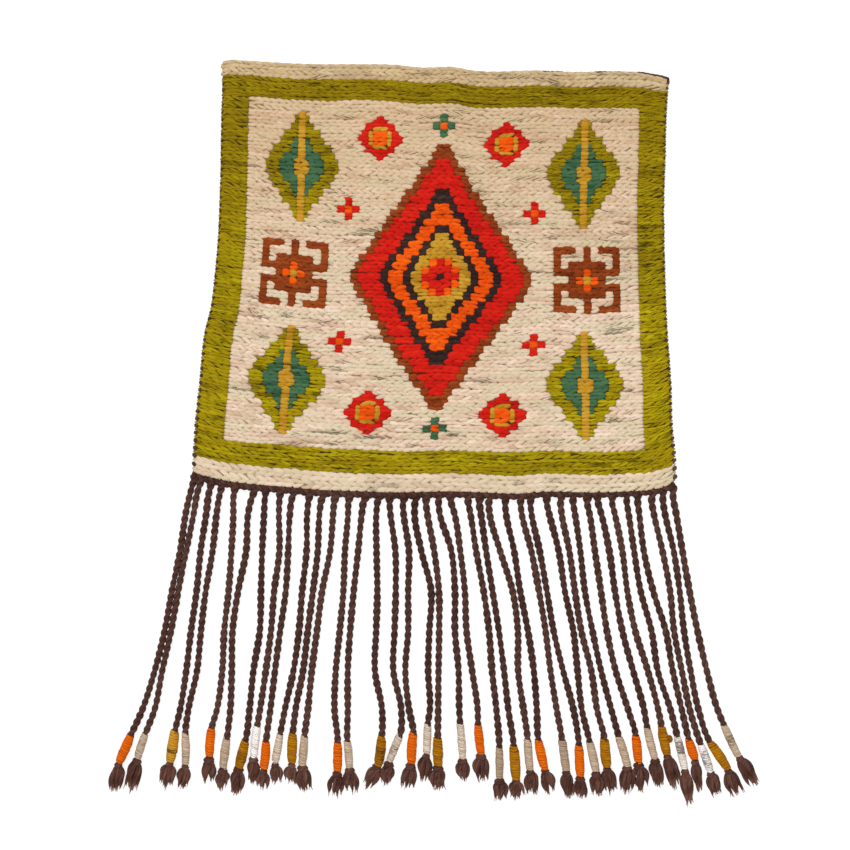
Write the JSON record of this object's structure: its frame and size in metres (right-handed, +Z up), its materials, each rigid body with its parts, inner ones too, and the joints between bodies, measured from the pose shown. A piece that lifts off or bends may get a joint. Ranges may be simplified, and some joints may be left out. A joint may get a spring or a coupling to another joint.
{
  "type": "kilim rug",
  "caption": "Small flat-woven wool kilim with stitched borders, lying flat, with a long fringe of twisted cords, wound coloured wraps and tassel ends.",
  "frame": {"origin": "middle of the whole rug's box, fringe included, on the surface that it lies on", "axes": "+Z up out of the cloth's front face, +Y towards the edge without a fringe, +X to the right seen from the front"},
  "size_m": [0.8142, 0.927, 0.0106],
  "materials": {
    "weave": "thick handspun wool, matt, in slanted stitches",
    "fringe_yarn": "dark brown two-ply wool cord, matt",
    "wrap_orange": "orange wool, wound tight",
    "wrap_cream": "undyed cream wool, wound tight",
    "wrap_mustard": "mustard wool, wound tight"
  },
  "bodies": {
    "root": {"woven_panel": "weave", "fringe": "fringe_yarn", "wrap_01": "wrap_orange", "wrap_02": "wrap_cream", "wrap_03": "wrap_mustard", "wrap_04": "wrap_cream", "wrap_05": "wrap_orange", "wrap_06": "wrap_cream", "wrap_07": "wrap_mustard", "wrap_08": "wrap_cream", "wrap_09": "wrap_orange", "wrap_10": "wrap_cream", "wrap_11": "wrap_mustard", "wrap_12": "wrap_cream", "wrap_13": "wrap_orange", "wrap_14": "wrap_cream", "wrap_15": "wrap_mustard", "wrap_16": "wrap_cream", "wrap_17": "wrap_orange", "wrap_18": "wrap_cream", "wrap_19": "wrap_mustard", "wrap_20": "wrap_cream", "wrap_21": "wrap_orange", "wrap_22": "wrap_cream", "wrap_23": "wrap_mustard", "wrap_24": "wrap_cream", "wrap_25": "wrap_orange", "wrap_26": "wrap_cream", "wrap_27": "wrap_orange", "wrap_28": "wrap_cream", "wrap_29": "wrap_mustard", "wrap_30": "wrap_cream", "wrap_31": "wrap_orange", "wrap_32": "wrap_cream", "wrap_33": "wrap_mustard", "wrap_34": "wrap_cream", "wrap_35": "wrap_orange", "wrap_36": "wrap_cream", "wrap_37": "wrap_mustard", "wrap_38": "wrap_cream"}
  },
  "joints": []
}
